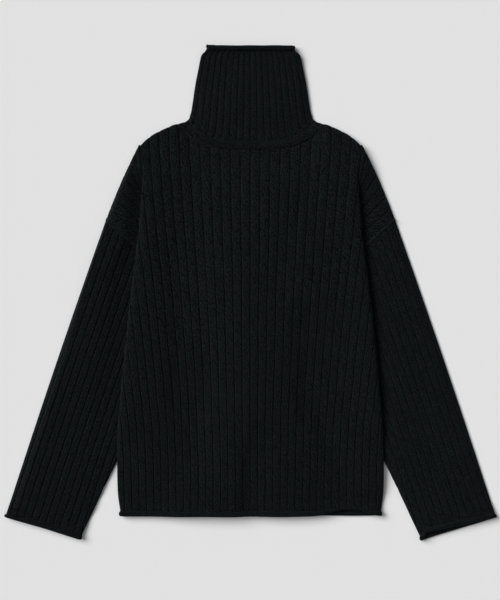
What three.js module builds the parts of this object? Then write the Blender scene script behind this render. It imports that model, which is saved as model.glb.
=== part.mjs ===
// A double-breasted cardigan in a wide flat rib knit, laid face down on a flat surface.
// Millimetres. +X is the wearer's right, +Y points to the neck, +Z is up. The surface is Z = 0.
// Each piece of cloth is one closed wall. Where pieces cross they lie in layers, GAP apart:
// the outer front lies lowest, then the inner front, then the back. Each sleeve runs under the body.
import * as THREE from 'three';

// Cloth and layers
const WALL = 3;
const GAP = 0.3;
const LAYER = WALL + GAP;
const FRONT_ROLL = 4.5;      // thickness of the rolled hem and collar edge of a front
const BACK_ROLL = 6;         // the same on the back
const ROLL_LENGTH = 8;       // how much of the panel's end is rolled

// Body
const HEM_Y = -344;
const TIP = { x: 165, y: 203 };        // shoulder tip, where the pleat of the drop shoulder begins
const SHOULDER_END = { x: 181, y: 203 };
const SHOULDER_TOP = { x: 173, y: 218 };
const NECK_HALF = 114;                 // half-width of the neck opening at the shoulder line
const PLEAT_RUN = 40;                  // length over which the pleat rises from one layer to four
const PLEAT_SLIT = 1.5;                // half the gap between the pleat's edges along that length

// Fronts
const OVERLAP_HALF = 55;               // the fronts overlap from -55 to +55
const OVERLAP_STEP = 16;               // beyond the overlap, the upper layers stay level this far
const OVERLAP_RAMP = 25;               // and then come down over this length

// Armhole and sleeve corners on the wearer's right side
const SEAM_OUTER = { x: 220, y: 111 };
const UNDERARM = { x: 80, y: -16 };
const SLEEVE_MEETS_SIDE = { x: 210, y: -273 };
const CUFF_INNER = { x: 262, y: -379 };
const CUFF_OUTER = { x: 374.5, y: -342 };

// The body rises over a sleeve or drop shoulder: `ahead` of its edge, over `run`, and not at the hem
const SLEEVE_LIFT = { ahead: 70, run: 38, hemY: -335, hemRun: 50 };
// It rises over the buttons along a strip in the middle, which ends over `endRun`
const BUTTON_LIFT = { half: 95, run: 33, bottom: -220, top: 200, endRun: 30 };

// Buttons, on the outer front's face, which is its underside here
const BUTTON = { radius: 12.5, height: 3, column: 34, rows: [150, 50, -50, -150] };

// Half-width of the body where its side folds over the sleeve
const SIDE_FOLD = [
  { y: HEM_Y, half: 196 }, { y: -335, half: 198 }, { y: -304, half: 203.5 }, { y: -273, half: 205 },
  { y: -220, half: 203 }, { y: -166, half: 199 }, { y: -104, half: 193 }, { y: -43, half: 187 },
  { y: 0, half: 182 }, { y: 95, half: 170 }, { y: 163, half: 165 }, { y: TIP.y, half: TIP.x },
];
// Inner edge of what lies under the body: the drop shoulder down to the underarm, then the sleeve
const UNDER_EDGE = [
  { y: CUFF_INNER.y, half: CUFF_INNER.x }, { y: SLEEVE_MEETS_SIDE.y, half: SLEEVE_MEETS_SIDE.x },
  { y: UNDERARM.y, half: UNDERARM.x }, { y: TIP.y - PLEAT_RUN, half: TIP.x }, { y: 260, half: TIP.x },
];
// Shoulder line from the neck to the tip, and the drop shoulder's outer edge below it
const SHOULDER_LINE = [
  { x: NECK_HALF, y: 257 }, { x: 136, y: 248.7 }, { x: 155, y: 238.5 }, { x: 173, y: 218 },
];
const DROP_EDGE = [
  { y: SEAM_OUTER.y, half: SEAM_OUTER.x }, { y: 141, half: 208.5 }, { y: 172, half: 195.7 },
  { y: SHOULDER_END.y, half: SHOULDER_END.x },
];
// Half-width of the collar at the height of its folded sides
const COLLAR_SIDE = [
  { y: 262, half: 101 }, { y: 268, half: 93 }, { y: 279, half: 90 }, { y: 295, half: 87.5 },
  { y: 325, half: 83 }, { y: 362, half: 75 }, { y: 369, half: 71 }, { y: 378.5, half: 69 },
];
// Soft ridges (rise above 0) and troughs across the back
const BACK_FOLDS = [
  { x0: -4, y0: -215, x1: -4, y1: -345, width: 11, rise: -2.2 },
  { x0: -140, y0: 150, x1: -122, y1: -120, width: 22, rise: -2 },
  { x0: -122, y0: -120, x1: -184, y1: -258, width: 22, rise: -2 },
  { x0: 65, y0: -60, x1: 126, y1: -276, width: 18, rise: -2 },
  { x0: -50, y0: -60, x1: -50, y1: -230, width: 20, rise: 1.6 },
  { x0: 114, y0: 0, x1: 118, y1: -100, width: 20, rise: 1.8 },
];
const BACK_CROWN = 2.2;                // how far the back stands above what it lies on, away from its seams
const CROWN_RUN = 45;
const CROWN_HEM = 12;                  // the strip at the hem that stays down

const RIB_BLACK = new THREE.Color(0x101314);

function smooth(value) {
  return THREE.MathUtils.smoothstep(value, 0, 1);
}

// Reads a table of rows sorted by `key`, with straight lines between rows
function readTable(table, key, column, at) {
  let row = 1;
  while (row < table.length - 1 && table[row][key] < at) row += 1;
  const below = table[row - 1];
  const above = table[row];
  const part = THREE.MathUtils.clamp((at - below[key]) / (above[key] - below[key]), 0, 1);
  return THREE.MathUtils.lerp(below[column], above[column], part);
}

const foldHalf = (y) => readTable(SIDE_FOLD, 'y', 'half', y);
const underHalf = (y) => readTable(UNDER_EDGE, 'y', 'half', y);
const dropHalf = (y) => readTable(DROP_EDGE, 'y', 'half', y);
const shoulderY = (x) => readTable(SHOULDER_LINE, 'x', 'y', x);
const necklineY = (x) => 220.4 + 36.6 * Math.pow(Math.abs(x) / NECK_HALF, 3.5);
const neckSeamY = (x) => readTable(NECK_SEAM, 'x', 'y', Math.abs(x));

// The neckband's upper edge, which is also the collar's base
const BAND_TOP_HALF = 101;
const bandTopY = (x) => 231 + 31 * Math.pow(Math.abs(x) / BAND_TOP_HALF, 3.5);

// A cloth wall: named corners with an outer and an inner point each, and cells of four corners,
// counterclockwise seen from the outer side. Free sides of cells are closed by a rim.
class Cloth {
  constructor() {
    this.corners = new Map();
    this.cells = [];
  }

  corner(name, outer, inner) {
    this.corners.set(name, { index: this.corners.size, outer, inner });
  }

  cell(...names) {
    this.cells.push(names);
  }

  geometry(mirrored = false) {
    const positions = [];
    for (const { outer, inner } of this.corners.values()) {
      for (const point of [outer, inner]) {
        positions.push(mirrored ? -point.x : point.x, point.y, point.z);
      }
    }
    const triangles = [];
    const quad = (a, b, c, d) => triangles.push(a, b, c, a, c, d);
    const sides = new Set();
    const outerOf = (name) => 2 * this.corners.get(name).index;
    const innerOf = (name) => outerOf(name) + 1;
    for (const names of this.cells) {
      quad(...names.map(outerOf));
      const [a, b, c, d] = names.map(innerOf);
      quad(c, b, a, d);   // the same diagonal as on the outer side, so that layers stay parallel
      names.forEach((name, i) => sides.add(`${name}>${names[(i + 1) % 4]}`));
    }
    for (const side of sides) {
      const [from, to] = side.split('>');
      if (!sides.has(`${to}>${from}`)) quad(outerOf(from), innerOf(from), innerOf(to), outerOf(to));
    }
    if (mirrored) triangles.reverse();
    const geometry = new THREE.BufferGeometry();
    geometry.setAttribute('position', new THREE.Float32BufferAttribute(positions, 3));
    geometry.setIndex(triangles);
    geometry.computeVertexNormals();
    return geometry;
  }
}

// 1 on the rolled end of a panel, 0 elsewhere
function rollShare(distanceFromEnd) {
  return 1 - smooth((distanceFromEnd - ROLL_LENGTH + 1) / 3);
}

const frontWall = (y) => WALL + (FRONT_ROLL - WALL) * rollShare(y - HEM_Y);
const backWall = (y) => WALL + (BACK_ROLL - WALL) * rollShare(y - HEM_Y);

// How far the body is lifted by the sleeve and drop shoulder under it, and by the buttons
function bodyLift(x, y) {
  const half = Math.abs(x);
  const overSleeve = smooth((half - underHalf(y) + SLEEVE_LIFT.ahead) / SLEEVE_LIFT.run);
  const nearTip = smooth((TIP.y + PLEAT_RUN - y) / (2 * PLEAT_RUN));
  const nearHem = smooth((y - SLEEVE_LIFT.hemY) / SLEEVE_LIFT.hemRun);
  const { bottom, top, endRun } = BUTTON_LIFT;
  const besideButtons = smooth((BUTTON_LIFT.half - half) / BUTTON_LIFT.run);
  const overButtons = besideButtons * smooth((y - bottom) / endRun) * smooth((top - y) / endRun);
  return Math.max(2 * LAYER * overSleeve * nearTip * nearHem, LAYER * overButtons);
}

// Height of the drop shoulder: it comes down from the shoulder tip to lie on the surface
function dropLift(y) {
  const down = TIP.y + PLEAT_RUN - y;
  return 2 * LAYER * (1 - smooth(down / (2 * PLEAT_RUN))) * smooth(down / (PLEAT_RUN / 2));
}

const overlapShare = (x) => smooth((x + OVERLAP_HALF + OVERLAP_STEP) / OVERLAP_RAMP + 1);
const twoFronts = (x) => overlapShare(-Math.abs(x));

function backCrown(x, y) {
  const half = Math.abs(x);
  const topEdge = half < NECK_HALF ? necklineY(x) : shoulderY(half);
  const edge = Math.min(foldHalf(y) - half, y - HEM_Y - CROWN_HEM, topEdge - y);
  let rise = BACK_CROWN;
  for (const fold of BACK_FOLDS) {
    const alongX = fold.x1 - fold.x0;
    const alongY = fold.y1 - fold.y0;
    const part = ((x - fold.x0) * alongX + (y - fold.y0) * alongY) / (alongX ** 2 + alongY ** 2);
    const near = THREE.MathUtils.clamp(part, 0, 1);
    const away = Math.hypot(x - fold.x0 - near * alongX, y - fold.y0 - near * alongY);
    rise += fold.rise * Math.exp(-((away / fold.width) ** 2));
  }
  return Math.max(rise, 0) * smooth(edge / CROWN_RUN);
}

// Rows of a body panel from the hem to the shoulder tip, then in shares up to the shoulder line
const BODY_ROWS = [
  HEM_Y, -340, -336.5, -334, -318, -290, -260, -225, -190, -155, -120, -85, -50, -16,
  15, 45, 75, 105, 135, 163, 183, TIP.y,
];
const TOP_SHARES = [0.5, 1];
const DROP_SHARES = [0, 1 / 3, 2 / 3, 1];
const DROP_ROWS = [TIP.y, 183, 163, 135, 105, 75, 45, 15, UNDERARM.y];

// One body panel: a main part with straight rows, and a drop shoulder at each side in `sides`.
// `columns` are the X of its columns at the shoulder tip. Those beyond the overlap of the fronts
// spread or close with the body's width, and all panels share them, so that layers stay parallel.
// The main part lies at `levelAt` above the body's lift, and the drop shoulders at `dropLevel`.
function bodyPanel({ columns, sides, levelAt, dropLevel, wallAt }) {
  const cloth = new Cloth();
  const placeAt = (name, x, y, bottom) => {
    cloth.corner(name, new THREE.Vector3(x, y, bottom + wallAt(y)), new THREE.Vector3(x, y, bottom));
  };
  const place = (name, x, y, lift) => placeAt(name, x, y, lift + levelAt(x, y));
  const tipRow = BODY_ROWS.length - 1;
  const grid = (fromRow, toRow, names) => {
    for (let row = fromRow; row < toRow; row += 1) {
      for (let i = 0; i + 1 < names.length; i += 1) {
        const [left, right] = [names[i], names[i + 1]];
        cloth.cell(`${row}:${left}`, `${row}:${right}`, `${row + 1}:${right}`, `${row + 1}:${left}`);
      }
    }
  };

  // Main part up to the shoulder tip
  BODY_ROWS.forEach((y, row) => {
    for (const column of columns) {
      const side = Math.sign(column);
      const grow = Math.max(Math.abs(column) - OVERLAP_HALF, 0) / (TIP.x - OVERLAP_HALF);
      let x = column + side * (foldHalf(y) - TIP.x) * grow;
      if (Math.abs(column) === TIP.x && y < TIP.y) x -= side * PLEAT_SLIT;
      place(`${row}:${column}`, x, y, bodyLift(x, y));
    }
  });
  grid(0, tipRow, columns);

  // Above the shoulder tip the rows bend up to the neckline and the shoulder line
  const dropColumns = (side) => DROP_SHARES.slice(1)
    .map((share) => side * THREE.MathUtils.lerp(TIP.x, SHOULDER_END.x, share));
  const wide = [...columns];
  for (const side of sides) {
    if (side > 0) wide.push(...dropColumns(side));
    else wide.unshift(...dropColumns(side).reverse());
  }
  for (const column of wide) {
    const half = Math.abs(column);
    if (half > TIP.x) place(`${tipRow}:${column}`, column, TIP.y, bodyLift(TIP.x, TIP.y));
    const pull = Math.max(half - NECK_HALF, 0) / (SHOULDER_END.x - NECK_HALF);
    const topX = column - Math.sign(column) * (SHOULDER_END.x - SHOULDER_TOP.x) * pull ** 2;
    const topY = half <= NECK_HALF ? necklineY(column) : shoulderY(Math.abs(topX));
    TOP_SHARES.forEach((share, i) => {
      const x = THREE.MathUtils.lerp(column, topX, share);
      const y = THREE.MathUtils.lerp(TIP.y, topY, share);
      place(`${tipRow + 1 + i}:${column}`, x, y, bodyLift(x, y));
    });
  }
  grid(tipRow, tipRow + TOP_SHARES.length, wide);

  // Drop shoulders: rows fan from the shoulder tip to the armhole seam
  for (const side of sides) {
    const tipNames = DROP_SHARES.map((share, i) => (
      `${tipRow}:${i === 0 ? side * TIP.x : dropColumns(side)[i - 1]}`));
    const nameOf = (row, i) => (row === 0 ? tipNames[i] : `drop${side}:${row}:${i}`);
    const last = DROP_ROWS.length - 1;
    for (let row = 1; row <= last; row += 1) {
      const share = row / last;
      const innerY = DROP_ROWS[row];
      const innerX = innerY >= TIP.y - PLEAT_RUN ? TIP.x + PLEAT_SLIT : underHalf(innerY);
      const outerY = THREE.MathUtils.lerp(SHOULDER_END.y, SEAM_OUTER.y, share);
      DROP_SHARES.forEach((across, i) => {
        const x = THREE.MathUtils.lerp(innerX, dropHalf(outerY), across);
        const y = THREE.MathUtils.lerp(innerY, outerY, across);
        placeAt(nameOf(row, i), side * x, y, dropLift(y) + dropLevel);
      });
    }
    for (let row = 0; row < last; row += 1) {
      for (let i = 0; i + 1 < DROP_SHARES.length; i += 1) {
        const cell = [nameOf(row + 1, i), nameOf(row + 1, i + 1), nameOf(row, i + 1), nameOf(row, i)];
        cloth.cell(...(side > 0 ? cell : cell.reverse()));
      }
    }
  }
  return cloth.geometry();
}

// `count` equal steps
function spread(from, to, count) {
  return Array.from({ length: count + 1 }, (_, i) => from + ((to - from) * i) / count);
}

// Columns of the overlap, then out to the neck corner, then out to the shoulder tip
const FRONT_COLUMNS = [
  ...spread(-OVERLAP_HALF, OVERLAP_HALF, 8),
  ...spread(OVERLAP_HALF, NECK_HALF, 4).slice(1),
  ...spread(NECK_HALF, TIP.x, 3).slice(1),
];
const negated = (columns) => columns.map((x) => -x).reverse();
const OUTSIDE_OVERLAP = FRONT_COLUMNS.filter((x) => x > OVERLAP_HALF);
// The neckline as the panels' straight edges between their columns, which the neckband follows
const NECK_SEAM = FRONT_COLUMNS.filter((x) => x >= 0 && x <= NECK_HALF).map((x) => ({ x, y: necklineY(x) }));

function outerFront() {
  return bodyPanel({
    columns: FRONT_COLUMNS,
    sides: [1],
    levelAt: () => 0,
    dropLevel: 0,
    wallAt: frontWall,
  });
}

function innerFront() {
  return bodyPanel({
    columns: negated(FRONT_COLUMNS),
    sides: [-1],
    levelAt: (x, y) => (frontWall(y) + GAP) * overlapShare(x),
    dropLevel: 0,
    wallAt: frontWall,
  });
}

function backPanel() {
  return bodyPanel({
    columns: [...negated(OUTSIDE_OVERLAP), ...FRONT_COLUMNS],
    sides: [-1, 1],
    levelAt: (x, y) => (frontWall(y) + GAP) * (1 + twoFronts(x)) + backCrown(x, y),
    dropLevel: LAYER,
    wallAt: backWall,
  });
}

// The collar and neckband run round from the outer front's edge, over the back, to the inner
// front's edge. `turn` counts along that path; the result is the wall's middle and its outward side.
const FLAT_STEPS = 8;
const TURN_STEPS = 4;

function neckPath(half, wall, frontThick) {
  const rise = frontThick + GAP;
  const middle = (level) => level + wall / 2;
  const radius = rise / 2;
  const end = half - radius - wall / 2;
  const points = [];
  const flat = (from, to, height, outward) => {
    for (const x of spread(from, to, FLAT_STEPS)) points.push({ x, z: height(x), nx: 0, nz: outward });
  };
  const turn = (side, fromAngle, base) => {
    for (let step = 1; step < TURN_STEPS; step += 1) {
      const angle = fromAngle + (Math.PI * step) / TURN_STEPS;
      const nx = Math.cos(angle);
      const nz = Math.sin(angle);
      points.push({ x: side * end + radius * nx, z: middle(base) + radius * (1 + nz), nx, nz });
    }
  };
  flat(-OVERLAP_HALF, end, () => middle(0), -1);
  turn(1, -Math.PI / 2, 0);
  flat(end, -end, (x) => middle(rise * (1 + twoFronts(x))), 1);
  turn(-1, Math.PI / 2, 0);
  flat(-end, OVERLAP_HALF, (x) => middle(rise * overlapShare(x)), -1);
  return points;
}

function neckPiece({ rows, placeAt, wallAt, frontThickAt }) {
  const cloth = new Cloth();
  rows.forEach((share, row) => {
    const { half, yAt } = placeAt(share);
    const path = neckPath(half, wallAt(share), frontThickAt(share));
    path.forEach(({ x, z, nx, nz }, i) => {
      const reach = wallAt(share) / 2;
      const offset = (by) => new THREE.Vector3(x + nx * by, yAt(x + nx * by), z + nz * by);
      cloth.corner(`${row}:${i}`, offset(reach), offset(-reach));
      if (row === 0 || i === 0) return;
      cloth.cell(`${row - 1}:${i - 1}`, `${row}:${i - 1}`, `${row}:${i}`, `${row - 1}:${i}`);
    });
  });
  return cloth.geometry();
}

// The neckband lies between the neckline and the collar's base
function neckband() {
  return neckPiece({
    rows: [0, 0.5, 1],
    placeAt: (share) => {
      const half = THREE.MathUtils.lerp(NECK_HALF, BAND_TOP_HALF, share);
      const lower = (x) => neckSeamY((x * NECK_HALF) / half) + GAP;
      const upper = (x) => bandTopY((x * BAND_TOP_HALF) / half) - GAP;
      return { half, yAt: (x) => THREE.MathUtils.lerp(lower(x), upper(x), share) };
    },
    wallAt: () => WALL,
    frontThickAt: () => WALL,
  });
}

const COLLAR_TOP = 378.5;
const COLLAR_ROWS = [0, 0.06, 0.15, 0.28, 0.5, 0.75, 0.91, 0.935, 0.96, 1];

function collar() {
  const baseSide = bandTopY(BAND_TOP_HALF);
  const rolled = (share) => rollShare((COLLAR_TOP - baseSide) * (1 - share));
  return neckPiece({
    rows: COLLAR_ROWS,
    placeAt: (share) => {
      const half = readTable(COLLAR_SIDE, 'y', 'half', THREE.MathUtils.lerp(baseSide, COLLAR_TOP, share));
      const base = (x) => bandTopY((x * BAND_TOP_HALF) / half);
      return { half, yAt: (x) => THREE.MathUtils.lerp(base(x), COLLAR_TOP, share) };
    },
    wallAt: (share) => WALL + (FRONT_ROLL - WALL) * rolled(share),
    frontThickAt: (share) => WALL + (FRONT_ROLL - WALL) * rolled(share),
  });
}

// A sleeve: a flattened tube from the armhole seam to the cuff. Its two rolled cuff edges lie one
// behind the other, so the upper layer ends a little before the lower one.
const CUFF_ROLL_HEIGHT = 11.7;
const CUFF_SET_BACK = 6;
const SET_BACK = { from: 0.9, over: 0.08 };        // shares of the sleeve's length
const CUFF_ROWS = [11, 8, 1.5, 0];                 // distances from the cuff's end
const SLEEVE_STEPS = 9;                            // along the sleeve
const SLEEVE_ACROSS = 5;
const SLEEVE_TURN = 4;
const SLEEVE_AROUND = 2 * (SLEEVE_ACROSS + SLEEVE_TURN);

function sleeve(mirrored) {
  const cloth = new Cloth();
  const flatPoint = ({ x, y }) => new THREE.Vector2(x, y);
  const seam = flatPoint(SEAM_OUTER).sub(flatPoint(UNDERARM)).normalize();
  const seamGap = new THREE.Vector2(seam.y, -seam.x).multiplyScalar(2 * GAP);
  const start = {
    outer: flatPoint(SEAM_OUTER).add(seamGap),
    inner: flatPoint(UNDERARM).add(seamGap),
  };
  const end = { outer: flatPoint(CUFF_OUTER), inner: flatPoint(CUFF_INNER) };
  const back = new THREE.Vector2().subVectors(start.outer, end.outer).normalize();
  const length = flatPoint(CUFF_OUTER).distanceTo(flatPoint(SEAM_OUTER));
  const cuffRows = CUFF_ROWS.map((fromEnd) => 1 - fromEnd / length);
  const stations = [...spread(0, 1, SLEEVE_STEPS).slice(0, -1), ...cuffRows];
  stations.forEach((share, row) => {
    const outer = new THREE.Vector2().lerpVectors(start.outer, end.outer, share);
    const inner = new THREE.Vector2().lerpVectors(start.inner, end.inner, share);
    const width = outer.distanceTo(inner);
    const across = new THREE.Vector2().subVectors(inner, outer).normalize();
    const rolled = rollShare(length * (1 - share));
    const height = THREE.MathUtils.lerp(2 * WALL + GAP, CUFF_ROLL_HEIGHT, rolled);
    const wall = (height - GAP) / 2;
    const setBack = CUFF_SET_BACK * smooth((share - SET_BACK.from) / SET_BACK.over);
    const at = ({ along, z }) => {
      const upper = THREE.MathUtils.clamp((z - height / 2 + wall / 2) / wall, 0, 1);
      const flat = outer.clone().addScaledVector(across, along).addScaledVector(back, setBack * upper);
      return new THREE.Vector3(flat.x, flat.y, z);
    };
    tubeLoop(width, height, wall).forEach((point, i) => {
      cloth.corner(`${row}:${i}`, at(point.outer), at(point.inner));
    });
  });
  for (let row = 0; row + 1 < stations.length; row += 1) {
    for (let i = 0; i < SLEEVE_AROUND; i += 1) {
      const next = (i + 1) % SLEEVE_AROUND;
      cloth.cell(`${row}:${next}`, `${row + 1}:${next}`, `${row + 1}:${i}`, `${row}:${i}`);
    }
  }
  return cloth.geometry(mirrored);
}

// Points round a flattened tube: over the top from the outer edge, round, and back underneath
function tubeLoop(width, height, wall) {
  const radius = height / 2;
  const slot = radius - wall;
  const points = [];
  const flat = (from, to, up) => {
    for (const along of spread(from, to, SLEEVE_ACROSS)) {
      points.push({ outer: { along, z: radius + up * radius }, inner: { along, z: radius + up * slot } });
    }
  };
  const turn = (centre, fromAngle) => {
    for (let step = 1; step < SLEEVE_TURN; step += 1) {
      const angle = fromAngle - (Math.PI * step) / SLEEVE_TURN;
      const [out, up] = [Math.cos(angle), Math.sin(angle)];
      const reach = (size) => ({ along: centre + size * out, z: radius + size * up });
      points.push({ outer: reach(radius), inner: reach(slot) });
    }
  };
  flat(radius, width - radius, 1);
  turn(width - radius, Math.PI / 2);
  flat(width - radius, radius, -1);
  turn(radius, -Math.PI / 2);
  return points;
}

// A plain round button with a raised rim, face down
const BUTTON_SIDES = 14;
const BUTTON_CORNER = 0.8;             // its rounded corners, and how far its middle is sunk
const BUTTON_RIM = 3;

function button() {
  const { radius, height } = BUTTON;
  const rimInside = radius - BUTTON_RIM;
  const profile = [
    [0, -height], [radius - BUTTON_CORNER, -height], [radius, -BUTTON_CORNER], [radius - BUTTON_CORNER, 0],
    [rimInside, 0], [rimInside - 1.5, -BUTTON_CORNER], [0, -BUTTON_CORNER],
  ];
  const points = profile.map(([across, along]) => new THREE.Vector2(across, along));
  const geometry = new THREE.LatheGeometry(points, BUTTON_SIDES);
  geometry.rotateX(-Math.PI / 2);
  return geometry;
}

const cardigan = new THREE.Group();

function add(name, geometry, roughness = 0.95) {
  const material = new THREE.MeshStandardMaterial({ color: RIB_BLACK, roughness, metalness: 0 });
  const mesh = new THREE.Mesh(geometry, material);
  mesh.name = name;
  cardigan.add(mesh);
  return mesh;
}

add('front_right', outerFront());
add('front_left', innerFront());
add('back', backPanel());
add('sleeve_right', sleeve(false));
add('sleeve_left', sleeve(true));
add('neckband', neckband());
add('collar', collar());
BUTTON.rows.forEach((y, row) => {
  [-1, 1].forEach((side, column) => {
    const mesh = add(`button_${row + 1}_${column + 1}`, button(), 0.35);
    mesh.position.set(side * BUTTON.column, y, 0);
  });
});

export default cardigan;
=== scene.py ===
"""A near-black double-breasted cardigan in a wide flat rib, laid face down on a pale floor.

Every shape is worked out in millimetres in the CAD's frame and turned into metres when its mesh is made.
+X is the wearer's right, +Y points to the neck, +Z is up. Cloth is a closed shell: `outer` is the side
that faces the world when the garment is worn, which is the upper side of the back and the lower side of
the fronts.
"""

import math

import bmesh
import bpy
import numpy as np
from mathutils import Matrix, Vector


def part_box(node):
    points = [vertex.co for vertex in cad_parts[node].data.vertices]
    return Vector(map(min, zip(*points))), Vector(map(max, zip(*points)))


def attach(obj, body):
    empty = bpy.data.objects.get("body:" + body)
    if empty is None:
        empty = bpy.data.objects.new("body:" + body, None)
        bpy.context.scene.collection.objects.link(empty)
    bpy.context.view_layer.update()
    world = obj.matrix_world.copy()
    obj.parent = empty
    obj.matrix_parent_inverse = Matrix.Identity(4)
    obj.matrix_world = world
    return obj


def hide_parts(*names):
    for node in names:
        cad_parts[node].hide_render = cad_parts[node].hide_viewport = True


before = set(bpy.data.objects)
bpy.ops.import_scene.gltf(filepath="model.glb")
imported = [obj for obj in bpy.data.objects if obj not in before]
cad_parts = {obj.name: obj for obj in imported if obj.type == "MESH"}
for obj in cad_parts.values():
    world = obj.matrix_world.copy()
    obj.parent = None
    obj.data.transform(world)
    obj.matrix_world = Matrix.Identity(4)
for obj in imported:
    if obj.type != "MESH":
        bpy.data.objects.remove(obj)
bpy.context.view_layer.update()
MM = 0.001

# ---- sizes, in millimetres

WALL = 2.6                    # thickness of the cloth over its ribs
LAYER = 3.3                   # height that one layer of cloth takes
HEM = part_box("back")[0].y / MM
COLLAR_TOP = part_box("collar")[1].y / MM
TIP_Y = 190.0                 # where the pleat of the drop shoulder begins
TIP_X = 169.0                 # the shoulder tip
NECK_HALF = 114.0             # half-width of the neckline
NECK_LOW = 220.4              # height of the neckline's middle
NECK_RISE = 36.6              # how much higher its ends are
BAND_HALF = 101.0             # the same three for the neckband's upper edge
BAND_LOW = 231.0
BAND_RISE = 31.0
NECK_POWER = 3.5              # how steeply both rise towards their ends
FRONT_EDGE = 55.0             # the fronts overlap from -55 to +55
RIBS = 18                     # ribs from the middle of the back to its side seam
TIP_RIB = 11                  # the rib that runs up beside the shoulder tip
FRONT_RIBS = 22               # ribs from a front's free edge to its side
WALES_PER_RIB = 6             # a usual count
COURSE = 1.75                 # height of one stitch
RIB_DEPTH = 1.6               # of the gutters between the ribs
GUTTER_SHARE = 0.105          # half of a gutter, as a share of a rib
FLATTER_RIBS = 0.8            # share of the ribs' depth on the fronts and the drop shoulders
CURL_RELIEF = 0.12            # the same share on the rolled hems
RIB_COLUMNS = np.array([0.0, 0.045, 0.1, 0.17, 0.5, 0.83, 0.9, 0.955])
# Half of a gutter of the back by height: the ribs are pulled wider open towards the shoulders
BACK_GUTTER = np.array([(-344, 0.085), (-120, 0.1), (40, 0.125), (150, 0.15)], float)
FOLD_RADIUS = 4.0             # round edge where the back folds over the sleeve
TURN_UNDER = 7.0              # cloth that goes on inwards after that edge
HEM_DRAWN_UP = 9.5            # how much higher the hem's edge is near its +X corner
HEM_LIFT = 4.0                # how far it is off the fronts' hem there
CURL_RADIUS = 2.7             # rolled edges
CURL_FLATTEN = 0.68           # their height as a share of their width
CURL_TURN = 1.55 * math.pi
CURL_STEPS = 12
CURL_COURSE = 1.8             # cloth in each step of the curl, as the stitches count it

# Half-width of the body at its side fold, by height
SIDE_FOLD = np.array([
    (-344, 199), (-335, 199.5), (-320, 202), (-304, 204), (-273, 205), (-220, 203), (-166, 199), (-104, 193),
    (-43, 187), (0, 182), (95, 170), (163, 165), (203, 165), (300, 165),
], float)
# Width of one rib of the back, by height
BACK_PITCH = np.array([
    (-345, 11.35), (-262, 11.4), (-201, 11.6), (-109, 12.3), (-17, 13.1), (75, 14.1), (137, 14.7),
    (210, 15.4), (260, 15.7),
], float)
# Inner edge of the sleeve and drop shoulder under the body, by height
UNDER_EDGE = np.array([(-379, 262), (-273, 210), (-16, 80), (163, 165), (260, 165)], float)
# Half-width of the collar at its folded sides, by height
COLLAR_SIDE = np.array([
    (262, 103), (267, 95.8), (279, 92.2), (295, 89.6), (310, 87.5), (325, 85), (340, 81.8), (355, 78.8),
    (362, 77.2), (366, 74.6), (370, 68.5), (379, 66),
], float)
# Where the ribs of the drop shoulder meet the shoulder line, and where they pass under the body
DROP_RIBS = np.array([
    # rib, start x, start y, end x, end y
    (11, 169, 225.2, 150, 128),
    (12, 177.5, 211, 151, 130),
    (13, 185.5, 195, 150, 130),
    (14, 193.3, 179, 150, 118),
    (15, 200.8, 162, 151, 107),
    (16, 207.8, 145, 152, 92),
    (17, 214.6, 128, 153, 73),
    (18, 220.8, 111, 155, 54),
], float)
SHOULDER_LINE = np.array([
    (114, 258.8), (125, 254), (136, 249), (147, 243.5), (154, 239), (160, 234.4), (165, 229.8), (169, 225.2),
], float)

SEAM_OUTER = np.array([220.8, 111.0])
CUFF_OUTER = np.array([374.5, -342.0])
SLEEVE_LENGTH = float(np.hypot(*(CUFF_OUTER - SEAM_OUTER)))
SLEEVE_DOWN = (CUFF_OUTER - SEAM_OUTER) / SLEEVE_LENGTH
SLEEVE_ACROSS = np.array([SLEEVE_DOWN[1], -SLEEVE_DOWN[0]])    # from the outer edge towards the body
SLEEVE_PITCH = 11.3
SLEEVE_HALF_HEIGHT = 3.2
SLEEVE_TOP_WIDTH = 185.0
# Width of the flat sleeve, by the distance from the armhole
SLEEVE_WIDTH = np.array([(0, SLEEVE_TOP_WIDTH), (75, 174.3), (360, 134.5), (480, 119.5)], float)
SEAM_SLANT = 0.415            # how much further down the armhole seam is for each millimetre inwards

# Soft folds across the back: a line down from (x0, y0) to (x1, y1), its half-width on its -X and on its
# +X side, and its rise
BACK_FOLDS = np.array([
    (-100, 150, -100, 60, 30, 30, -2.5),
    (-95, 50, -90, -150, 37, 33, -9.0),
    (-90, -150, -88, -245, 33, 33, -5.5),
    (5, 70, 12, -150, 60, 60, 5.5),
    (-9, -250, -17, -335, 66, 90, 8.0),
    (-95, -330, -95, -335, 48, 45, 5.0),
    (3, -240, -1, -345, 16, 40, -4.0),
    (0, -255, -4, -345, 12, 25, -2.5),
    (82, -60, 101, -147, 24, 36, -6.0),
    (101, -147, 140, -225, 28, 45, -8.0),
    (140, -225, 180, -300, 32, 45, -8.0),
    (-152, 70, -150, -150, 36, 36, 3.6),
    (50, -260, 80, -320, 30, 30, 1.8),
    (40, 170, 60, 60, 30, 30, 1.2),
], float)
BAND_TUCK = 3.0               # how far the back goes on under the neckband's ends
BODY_PUFF = 6.0               # the back's puff between its edges
EDGE_CROWN = 3.0              # how much higher it is beside its side folds


def table(rows, at):
    """The value at `at`, straight between the rows of a table."""
    return np.interp(at, rows[:, 0], rows[:, 1])


def smooth(value):
    value = np.clip(value, 0, 1)
    return value * value * (3 - 2 * value)


def mix(low, high, share):
    return low + (high - low) * share


def neckline(x):
    """Height of the body's neckline: low in the middle, rising steeply to its ends."""
    return NECK_LOW + NECK_RISE * (np.abs(x) / NECK_HALF) ** NECK_POWER


def band_top(x):
    """Height of the neckband's upper edge."""
    return BAND_LOW + BAND_RISE * (np.abs(x) / BAND_HALF) ** NECK_POWER


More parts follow.
